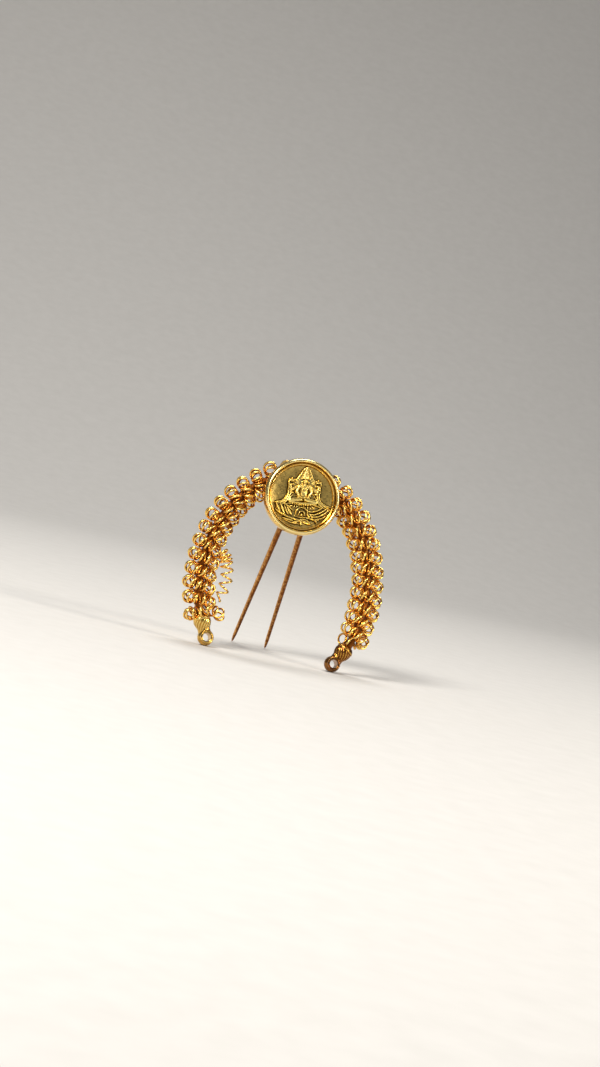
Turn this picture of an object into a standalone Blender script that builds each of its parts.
"""Hair bun ornament: a coin in a bezel on a horseshoe of coiled spring, with a two-prong hair fork behind it.

Sizes are millimetres in the arch's own frame: X to the right, Y up the arch, Z towards the viewer, the origin behind
the coin's centre on the arch's middle plane. The whole part is then leaned back on to its two end caps and its two
prong tips, and set down with the middle of its box's bottom at the world's origin.
"""

import math

import bmesh
import bpy
import numpy as np
from mathutils import Matrix, Vector

MM = 0.001
GAP = 0.3

# Arch: the core wire's middle line, an ellipse round the bun
ARCH_HALF_WIDTH = 27.2
ARCH_HALF_HEIGHT = 34.4
ARCH_CENTRE_Y = -27.9
CORE_RADIUS = 1.3

# Coils: the fine spring, wound round the core as a fat helix, close on the inside of the bend
STRAND_RADIUS = 1.76
STRAND_PATH_RADIUS = 3.5
INNER_PITCH = 3.91
COIL_START = {-1: 5.7, 1: 6.65}      # along the arch from its top, left and right
COIL_FIRST_TURN = {-1: 0.0, 1: 0.5}  # whole turns start on the outside of the arch
COIL_TO_CAP_DEG = 3.6  # on the ellipse, between the strand's end and the cap's mouth
POINTS_PER_TURN = 12

# Bezel and coin
BEZEL_CENTRE = (-1.4, -0.6)    # the medallion sits a little off the arch's middle
BEZEL_RADIUS = 12.2
BEZEL_INNER_RADIUS = 9.95
BEZEL_BACK_Z = 5.6
BEZEL_FLOOR_Z = 6.5
BEZEL_CREST_Z = 10.0
COIN_RADIUS = BEZEL_INNER_RADIUS - GAP
COIN_BACK_Z = BEZEL_FLOOR_Z + GAP
COIN_GROUND_Z = 7.9
COIN_TURN_DEG = 6.5    # the coin sits a little turned in its bezel
LUMP_ROOT = 0.5        # how deep each lump of the relief goes into the coin
SADDLE_HALF = 3.0
SADDLE_BACK_Z = -0.9

# Hair fork
PRONG_HALF_GAP = 3.3
PRONG_SPREAD_DEG = 2.6
PRONG_BEND_DEG = 41.0
PRONG_BEND_Y = -6.6
PRONG_BEND_RADIUS = 6.0
PRONG_LENGTH = 52.0    # from the bend to the tip
PRONG_RADIUS = 0.95
PRONG_END_RADIUS = 0.56
PRONG_TIP_RADIUS = 0.14
PRONG_POINT_LENGTH = 3.2
FORK_Z = -CORE_RADIUS - GAP - PRONG_RADIUS

# End caps, turned about their own axis, from the mouth to the round end
CAP_EYE_Y = -49.67
CAP_EYE_ALONG = 7.75
CAP_BALL_RADIUS = 2.7
CAP_EYE_RADIUS = 1.28
CAP_EYE_LIP_RADIUS = 2.05
CAP_EYE_LIP_HALF = 2.5
CAP_BORE_DEPTH = 3.2
CAP_TURN_IN_DEG = {-1: 23.0, 1: 32.0}  # left and right
FOOT_CUT = 0.12        # how much of the ball the little flat under it takes off

# Loose stretch of spring on the inner side of the left arm
LOOSE_WIRE_RADIUS = 0.26
LOOSE_POINTS_PER_LOOP = 10

DARK_GOLD = (0.50, 0.33, 0.08)
PALE_GOLD = (0.86, 0.62, 0.22)
WARM_GOLD = (0.80, 0.45, 0.12)
COPPER_GOLD = (0.66, 0.30, 0.08)


def clear_scene():
    for obj in list(bpy.data.objects):
        bpy.data.objects.remove(obj, do_unlink=True)
    for collection in list(bpy.data.collections):
        bpy.data.collections.remove(collection)


def new_collection(name):
    collection = bpy.data.collections.new(name)
    bpy.context.scene.collection.children.link(collection)
    return collection


def gold(name, colour, roughness):
    material = bpy.data.materials.new(name)
    material.use_nodes = True
    shader = material.node_tree.nodes["Principled BSDF"]
    shader.inputs["Base Color"].default_value = (*colour, 1.0)
    shader.inputs["Metallic"].default_value = 1.0
    shader.inputs["Roughness"].default_value = roughness
    return material


def mesh_object(name, points, faces, collection, material=None, smooth=True):
    mesh = bpy.data.meshes.new(name)
    mesh.from_pydata([tuple(c * MM for c in p) for p in points], [], faces)
    work = bmesh.new()
    work.from_mesh(mesh)
    bmesh.ops.recalc_face_normals(work, faces=work.faces)
    for face in work.faces:
        face.smooth = smooth
    work.to_mesh(mesh)
    work.free()
    if material:
        mesh.materials.append(material)
    obj = bpy.data.objects.new(name, mesh)
    collection.objects.link(obj)
    return obj


def turned(name, profile, steps, collection, material=None, frame=None):
    """A closed profile of (radius, height) turned about Z; its two ends lie on the axis."""
    frame = frame or Matrix()
    points, rings = [], []
    for radius, height in profile:
        if radius == 0:
            rings.append([len(points)])
            points.append(frame @ Vector((0, 0, height)))
            continue
        rings.append(range(len(points), len(points) + steps))
        for i in range(steps):
            turn = 2 * math.pi * i / steps
            points.append(frame @ Vector((radius * math.cos(turn), radius * math.sin(turn), height)))
    faces = []
    for low, high in zip(rings, rings[1:]):
        for i in range(steps):
            j = (i + 1) % steps
            corners = [low[i % len(low)], low[j % len(low)], high[j % len(high)], high[i % len(high)]]
            faces.append(list(dict.fromkeys(corners)))
    return mesh_object(name, points, faces, collection, material)


def tube(name, points, radii, collection, material=None, sides=8):
    """A round wire through the points, as a poly spline with a radius at each."""
    curve = bpy.data.curves.new(name, "CURVE")
    curve.dimensions = "3D"
    curve.bevel_depth = MM
    curve.bevel_resolution = sides // 2 - 2
    curve.use_fill_caps = True
    spline = curve.splines.new("POLY")
    spline.points.add(len(points) - 1)
    for slot, point, radius in zip(spline.points, points, radii):
        slot.co = (*(c * MM for c in point), 1.0)
        slot.radius = radius
    spline.use_smooth = True
    if material:
        curve.materials.append(material)
    obj = bpy.data.objects.new(name, curve)
    collection.objects.link(obj)
    return obj


def as_mesh(obj):
    """The curve object as a mesh object of the same name, in the same collection."""
    view = bpy.context.evaluated_depsgraph_get()
    mesh = bpy.data.meshes.new_from_object(obj.evaluated_get(view), depsgraph=view)
    name, collection = obj.name, obj.users_collection[0]
    bpy.data.objects.remove(obj, do_unlink=True)
    solid = bpy.data.objects.new(name, mesh)
    collection.objects.link(solid)
    return solid


def combine(target, tools, operation):
    for tool in tools:
        change = target.modifiers.new(tool.name, "BOOLEAN")
        change.operation = operation
        change.solver = "EXACT"
        change.object = tool
        tool.hide_render = True
        tool.display_type = "WIRE"


def on_arch(degrees):
    """Point, tangent away from the top and outward normal of the core's middle line, on the right arm."""
    t = math.radians(degrees)
    point = Vector((ARCH_HALF_WIDTH * math.sin(t), ARCH_CENTRE_Y + ARCH_HALF_HEIGHT * math.cos(t), 0))
    along = Vector((ARCH_HALF_WIDTH * math.cos(t), -ARCH_HALF_HEIGHT * math.sin(t), 0)).normalized()
    return point, along, Vector((-along.y, along.x, 0))


def mirrored(vector, side):
    return Vector((side * vector.x, vector.y, vector.z))


def arch_radius(degrees):
    t = math.radians(degrees)
    a, b = ARCH_HALF_WIDTH, ARCH_HALF_HEIGHT
    return ((a * math.cos(t)) ** 2 + (b * math.sin(t)) ** 2) ** 1.5 / (a * b)


def cap_start(side):
    """Where on the ellipse the cap's mouth is, so that both eyes are equally high."""
    rise = CAP_EYE_Y + CAP_EYE_ALONG * math.cos(math.radians(CAP_TURN_IN_DEG[side])) - ARCH_CENTRE_Y
    return math.degrees(math.acos(rise / ARCH_HALF_HEIGHT))


def coil_points(side):
    """The spring's own middle line: a left-handed helix, its turns touching on the inside of the bend."""
    step = 0.05
    end = cap_start(side) - COIL_TO_CAP_DEG
    degrees, along, turns = 0.0, 0.0, COIL_FIRST_TURN[side]
    points, next_turn = [], turns
    while degrees < end:
        point, tangent, outward = on_arch(degrees)
        if along >= COIL_START[side]:
            if turns >= next_turn:
                centre, forward = mirrored(point, side), mirrored(tangent, side)
                across = mirrored(outward, side)
                angle = -2 * math.pi * turns
                radial = math.cos(angle) * across + math.sin(angle) * forward.cross(across)
                points.append(centre + STRAND_PATH_RADIUS * radial)
                next_turn += 1 / POINTS_PER_TURN
        pitch = INNER_PITCH / (1 - STRAND_PATH_RADIUS / arch_radius(degrees))
        speed = (on_arch(degrees + step)[0] - point).length
        if along >= COIL_START[side]:
            turns += speed / pitch
        along += speed
        degrees += step
    return points


def cap_frame(side):
    """The cap's own frame: Z runs from its mouth to its round end, Y is the arch's Z."""
    start = mirrored(on_arch(cap_start(side))[0], side)
    lean = math.radians(CAP_TURN_IN_DEG[side])
    axis = Vector((-side * math.sin(lean), -math.cos(lean), 0))
    front = Vector((0, 0, 1))
    third = front.cross(axis)
    frame = Matrix((third, front, axis)).transposed().to_4x4()
    frame.translation = start
    return frame


def prong_points(side):
    """From the middle of the U, round behind the core and down to the tip, with the wire's radius at each."""
    points, radii = [], []
    top = on_arch(0)[0].y
    for i in range(7):
        turn = math.pi / 2 * i / 6
        points.append((side * PRONG_HALF_GAP * math.sin(turn), top + PRONG_HALF_GAP * math.cos(turn), FORK_Z))
        radii.append(PRONG_RADIUS)
    bend, spread = math.radians(PRONG_BEND_DEG), math.radians(PRONG_SPREAD_DEG)
    reach = PRONG_BEND_RADIUS * math.tan(bend / 2)

    def out(length):
        return side * (PRONG_HALF_GAP + length * math.tan(spread))

    for i in range(9):
        turn = bend * i / 8
        y = PRONG_BEND_Y + reach - PRONG_BEND_RADIUS * math.sin(turn)
        z = FORK_Z - PRONG_BEND_RADIUS * (1 - math.cos(turn))
        points.append((out(reach * i / 8), y, z))
        radii.append(PRONG_RADIUS)
    straight = PRONG_LENGTH - reach
    for part in (0.15, 0.35, 0.55, 0.75, 1 - PRONG_POINT_LENGTH / straight, 0.985, 1.0):
        length = reach + straight * part
        points.append((out(length), PRONG_BEND_Y - length * math.cos(bend), FORK_Z - length * math.sin(bend)))
        taper = PRONG_RADIUS + (PRONG_END_RADIUS - PRONG_RADIUS) * part
        radii.append({0.985: 0.3, 1.0: PRONG_TIP_RADIUS}.get(part, taper))
    return points, radii


def lean_angle():
    """How far the arch leans back when both caps and both prong tips stand on one floor."""
    bend = math.radians(PRONG_BEND_DEG)
    tip_y = PRONG_BEND_Y - PRONG_LENGTH * math.cos(bend)
    tip_z = FORK_Z - PRONG_LENGTH * math.sin(bend)
    drop = CAP_BALL_RADIUS - FOOT_CUT - PRONG_TIP_RADIUS
    rise = tip_y - CAP_EYE_Y
    return math.asin(drop / math.hypot(rise, tip_z)) + math.atan2(rise, -tip_z)


def make_core(parts, material):
    first, last = -cap_start(-1) - 2.4, cap_start(1) + 2.4
    count = 61
    points = []
    for i in range(count):
        degrees = first + (last - first) * i / (count - 1)
        point = on_arch(abs(degrees))[0]
        points.append(mirrored(point, 1 if degrees >= 0 else -1))
    return tube("core_wire", points, [CORE_RADIUS] * count, parts, material)


def make_bezel(parts, cutters, material):
    outer, inner, crest = BEZEL_RADIUS, BEZEL_INNER_RADIUS, BEZEL_CREST_Z
    profile = [
        (0, BEZEL_BACK_Z), (outer - 1.3, BEZEL_BACK_Z), (outer - 0.4, BEZEL_BACK_Z + 0.4), (outer, BEZEL_BACK_Z + 1.3),
        (outer, crest - 1.5), (outer - 0.15, crest - 0.75), (outer - 0.5, crest - 0.2), (outer - 0.9, crest),
        (outer - 1.2, crest - 0.25), (outer - 1.35, crest - 0.8), (inner + 0.77, crest - 1.15),
        (inner + 0.55, crest - 0.95), (inner + 0.3, crest - 0.9), (inner + 0.08, crest - 1.1), (inner, crest - 1.6),
        (inner, BEZEL_FLOOR_Z), (0, BEZEL_FLOOR_Z),
    ]
    bezel = turned("bezel", profile, 48, parts, material, Matrix.Translation((*BEZEL_CENTRE, 0)))
    top = on_arch(0)[0].y
    half = SADDLE_HALF
    low, high = Vector((-half, top - half, SADDLE_BACK_Z)), Vector((half, top + half, BEZEL_BACK_Z + 0.4))
    corners = [(x, y, z) for x in (low.x, high.x) for y in (low.y, high.y) for z in (low.z, high.z)]
    quads = [(0, 1, 3, 2), (4, 6, 7, 5), (0, 4, 5, 1), (2, 3, 7, 6), (0, 2, 6, 4), (1, 5, 7, 3)]
    saddle = mesh_object("saddle", corners, quads, cutters, smooth=False)
    groove_points = []
    for i in range(9):
        degrees = -14 + 28 * i / 8
        groove_points.append(mirrored(on_arch(abs(degrees))[0], 1 if degrees >= 0 else -1))
    groove = as_mesh(tube("groove", groove_points, [CORE_RADIUS + GAP] * 9, cutters, sides=12))
    slot_low = Vector((-half - 1, top - CORE_RADIUS - GAP, SADDLE_BACK_Z - 1))
    slot_high = Vector((half + 1, top + CORE_RADIUS + GAP, 0))
    corners = [(x, y, z) for x in (slot_low.x, slot_high.x) for y in (slot_low.y - 0.25, slot_high.y)
               for z in (slot_low.z, slot_high.z)]
    slot = mesh_object("saddle_slot", corners, quads, cutters, smooth=False)
    combine(bezel, [saddle], "UNION")
    combine(bezel, [groove, slot], "DIFFERENCE")
    return bezel


def lump(name, centre, size, turn_deg, collection, steps=10):
    """A low rounded lump of the relief: half-sizes along its own X and Y, and its height over the ground."""
    half_x, half_y, height = size
    turn = Matrix.Rotation(math.radians(turn_deg), 4, "Z")
    profile = [
        (0, -LUMP_ROOT), (0.96, -LUMP_ROOT), (1, 0), (0.9, 0.45 * height), (0.62, 0.8 * height), (0.28, 0.96 * height),
        (0, height),
    ]
    place = Matrix.Translation((centre[0], centre[1], COIN_GROUND_Z)) @ turn @ Matrix.Diagonal((half_x, half_y, 1, 1))
    return turned(name, profile, steps, collection, frame=COIN_FRAME @ place)


COIN_FRAME = Matrix.Translation((*BEZEL_CENTRE, 0)) @ Matrix.Rotation(math.radians(COIN_TURN_DEG), 4, "Z")

# The relief: a seated figure on a lotus. name, x, y, half width, half height, relief height, turn in degrees
RELIEF = (
    ("crown", 1.1, 6.9, 1.35, 2.6, 1.0, 0),
    ("head", 1.0, 4.6, 1.25, 1.35, 1.4, 0),
    ("torso", 0.9, 1.7, 2.1, 2.6, 1.3, 0),
    ("upper_arm_left", -1.9, 3.0, 0.75, 1.9, 0.9, 25),
    ("upper_arm_right", 3.8, 3.0, 0.75, 1.9, 0.9, -25),
    ("hand_left", -3.3, 4.6, 1.2, 1.5, 1.0, 0),
    ("hand_right", 4.6, 4.6, 1.2, 1.5, 1.0, 0),
    ("lower_arm_left", -1.8, 0.6, 0.8, 1.7, 1.0, -30),
    ("lower_arm_right", 3.6, 0.6, 0.8, 1.7, 1.0, 30),
    ("lap", 0.6, -1.1, 4.4, 1.3, 1.3, 0),
    ("knee_left", -3.8, -1.7, 2.6, 1.15, 1.2, 12),
    ("knee_right", 5.0, -1.7, 2.6, 1.15, 1.2, -12),
    ("centre_petal", 0.2, -4.6, 1.7, 1.9, 1.1, 0),
    ("base", 0.1, -6.4, 6.1, 0.8, 0.8, 0),
)
PETALS_A_SIDE = 4
PETAL_LENGTH = 2.0
PETAL_WIDTH = 0.72


def make_coin(parts, cutters, material):
    edge, ground = COIN_RADIUS, COIN_GROUND_Z
    profile = [(0, COIN_BACK_Z), (edge, COIN_BACK_Z), (edge, ground - 0.1), (edge - 0.1, ground), (0, ground)]
    coin = turned("coin", profile, 48, parts, material, COIN_FRAME)
    lumps = []
    for name, x, y, half_x, half_y, height, turn in RELIEF:
        lumps.append(lump(name, (x, y), (half_x, half_y, height), turn, cutters))
    for side in (-1, 1):
        for i in range(PETALS_A_SIDE):
            part = (i + 1) / PETALS_A_SIDE
            x = 0.2 + side * (1.7 + 4.6 * part)
            y = -4.6 + 1.3 * part
            turn = side * -(18 + 34 * part)
            name = f"petal_{'left' if side < 0 else 'right'}_{i + 1}"
            lumps.append(lump(name, (x, y), (PETAL_WIDTH, PETAL_LENGTH, 0.85), -turn, cutters, steps=8))
    combine(coin, lumps, "UNION")
    return coin


def make_cap(side, name, parts, cutters, material, lean):
    frame = cap_frame(side)
    ball, eye = CAP_BALL_RADIUS, CAP_EYE_ALONG
    profile = [
        (0, CAP_BORE_DEPTH), (CORE_RADIUS + GAP, CAP_BORE_DEPTH), (CORE_RADIUS + GAP, 0.15), (2.05, 0.3),
        (2.45, 0.75), (2.72, 1.3), (2.82, 1.7), (2.72, 1.95), (2.78, 2.5), (2.68, 3.2), (2.4, 3.95), (2.12, 4.5),
        (2.0, 5.0), (2.02, 5.7),
    ]
    start = math.acos(2.02 / ball)
    steps = 7
    for i in range(1, steps + 1):
        turn = -start + (start + math.pi / 2) * i / steps
        profile.append((0 if i == steps else ball * math.cos(turn), eye + ball * math.sin(turn)))
    cap = turned(name, profile, 22, parts, material, frame)
    across = frame @ Matrix.Translation((0, 0, eye)) @ Matrix.Rotation(-math.pi / 2, 4, "X")
    half = CAP_EYE_LIP_HALF
    lip_profile = [
        (0, -half), (CAP_EYE_LIP_RADIUS - 0.2, -half), (CAP_EYE_LIP_RADIUS, -half + 0.25),
        (CAP_EYE_LIP_RADIUS, half - 0.25), (CAP_EYE_LIP_RADIUS - 0.2, half), (0, half),
    ]
    lip = turned(name + "_lip", lip_profile, 18, cutters, frame=across)
    hole = turned(name + "_eye", [(0, -4), (CAP_EYE_RADIUS, -4), (CAP_EYE_RADIUS, 4), (0, 4)], 16, cutters,
                  frame=across)
    centre = frame @ Vector((0, 0, eye))
    level = Matrix.Translation(centre) @ Matrix.Rotation(math.pi / 2 - lean, 4, "X").inverted()
    size, depth = 4.0, ball - FOOT_CUT
    corners = [level @ Vector((x, y, z)) for x in (-size, size) for y in (-size, size) for z in (-depth - 3, -depth)]
    quads = [(0, 1, 3, 2), (4, 6, 7, 5), (0, 4, 5, 1), (2, 3, 7, 6), (0, 2, 6, 4), (1, 5, 7, 3)]
    foot = mesh_object(name + "_floor", corners, quads, cutters, smooth=False)
    combine(cap, [lip], "UNION")
    combine(cap, [hole, foot], "DIFFERENCE")
    return cap


# The loose stretch's middle line: x, y, z of each way point, the loops' half-width there and the loops made so far
LOOSE_ROUTE = (
    (-19.4, -21.2, 1.0, 1.6, 0.0),
    (-19.3, -22.6, 1.6, 1.8, 1.2),
    (-19.0, -24.6, 2.0, 1.9, 2.6),
    (-18.6, -26.6, 2.0, 1.9, 3.8),
    (-18.5, -30.0, 1.6, 1.8, 4.7),
    (-18.8, -33.4, 1.2, 1.6, 5.6),
    (-19.4, -36.2, 0.8, 1.2, 6.3),
)


def make_loose(parts, material):
    """A helix round a bowed middle line: close loops at the top, then loops pulled wide apart."""
    rows = np.array(LOOSE_ROUTE)
    loops = rows[:, 4]
    count = int(loops[-1] * LOOSE_POINTS_PER_LOOP)
    turns = np.linspace(0, loops[-1], count)
    line = np.stack([np.interp(turns, loops, rows[:, i]) for i in range(4)], 1)
    kernel = np.hanning(9)
    kernel /= kernel.sum()
    padded = np.pad(line, ((4, 4), (0, 0)), "edge")
    line = np.stack([np.convolve(padded[:, i], kernel, "valid") for i in range(4)], 1)
    tangent = np.gradient(line[:, :3], axis=0)
    tangent /= np.linalg.norm(tangent, axis=1)[:, None]
    front = np.array([0.0, 0.0, 1.0])
    across = np.cross(tangent, front)
    across /= np.linalg.norm(across, axis=1)[:, None]
    depth = np.cross(across, tangent)
    angle = (-2 * math.pi * turns)[:, None]
    points = line[:, :3] + line[:, 3:] * (np.cos(angle) * across + np.sin(angle) * depth)
    return tube("loose_coil", points.tolist(), [LOOSE_WIRE_RADIUS] * count, parts, material, sides=6)


def stand(objects, lean):
    """Leans the arch back on to its feet and sets the middle of the box's bottom at the world's origin."""
    upright = Matrix.Rotation(math.pi / 2 - lean, 4, "X")
    for obj in objects:
        obj.matrix_world = upright
    bpy.context.view_layer.update()
    view = bpy.context.evaluated_depsgraph_get()
    corners = []
    for obj in objects:
        if obj.hide_render:
            continue
        shown = obj.evaluated_get(view)
        mesh = shown.to_mesh()
        corners += [obj.matrix_world @ v.co for v in mesh.vertices]
        shown.to_mesh_clear()
    points = np.array([tuple(c) for c in corners])
    low, high = points.min(axis=0), points.max(axis=0)
    shift = Matrix.Translation((-(low[0] + high[0]) / 2, -(low[1] + high[1]) / 2, -low[2]))
    for obj in objects:
        obj.matrix_world = shift @ upright
    return shift @ upright


def main():
    clear_scene()
    parts, cutters = new_collection("parts"), new_collection("cutters")
    rim_gold = gold("rim_gold", PALE_GOLD, 0.22)
    coin_gold = gold("coin_gold", DARK_GOLD, 0.38)
    coil_gold = gold("coil_gold", WARM_GOLD, 0.25)
    core_gold = gold("core_gold", COPPER_GOLD, 0.4)
    cap_gold = gold("cap_gold", PALE_GOLD, 0.3)
    fork_gold = gold("fork_gold", COPPER_GOLD, 0.35)
    lean = lean_angle()
    make_core(parts, core_gold)
    make_bezel(parts, cutters, rim_gold)
    make_coin(parts, cutters, coin_gold)
    for side, word in ((-1, "left"), (1, "right")):
        points = coil_points(side)
        tube("coil_" + word, points, [STRAND_RADIUS] * len(points), parts, coil_gold)
        make_cap(side, "end_cap_" + word, parts, cutters, cap_gold, lean)
    left, radii = prong_points(-1)
    right = prong_points(1)[0]
    tube("hair_fork", left[::-1] + right[1:], radii[::-1] + radii[1:], parts, fork_gold, sides=10)
    make_loose(parts, coil_gold)
    bpy.context.view_layer.update()
    place = stand(list(parts.objects) + list(cutters.objects), lean)
    eye = place @ (Vector((0, 0, 0)) * MM)
    print("lean", round(math.degrees(lean), 2), "arch origin", [round(c * 1000, 3) for c in eye])


main()
